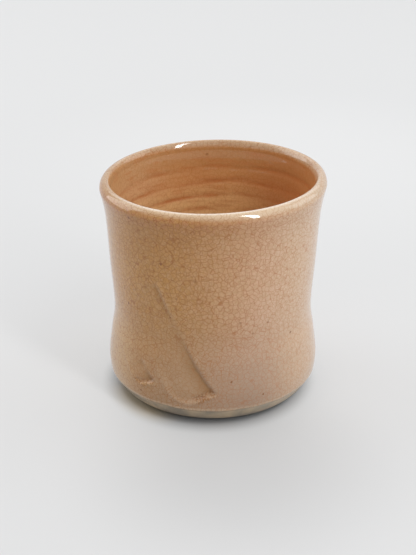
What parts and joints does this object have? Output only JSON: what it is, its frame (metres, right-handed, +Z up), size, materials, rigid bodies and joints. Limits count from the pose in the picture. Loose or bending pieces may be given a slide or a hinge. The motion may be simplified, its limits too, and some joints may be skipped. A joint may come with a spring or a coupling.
{
  "type": "sake cup",
  "caption": "Hand-thrown stoneware sake cup, waisted below a rounded flaring lip, with crackled glaze over a bare turned foot, for drinking sake.",
  "frame": {"origin": "where the cup's axis meets the surface that the foot ring stands on", "axes": "+Z up along the throwing axis, -Y towards the front with the spatula strokes, +X to the right seen from the front"},
  "size_m": [0.062, 0.062, 0.0635],
  "materials": {
    "bare_clay": "unglazed grey-buff stoneware, fine grained and matt",
    "dipped_glaze": "glossy pinkish tan glaze with a fine brown crackle and iron specks",
    "poured_glaze": "glossy pinkish tan glaze over throwing rings"
  },
  "bodies": {
    "root": {"clay_body": "bare_clay", "outer_glaze": "dipped_glaze", "inner_glaze": "poured_glaze"}
  },
  "joints": []
}
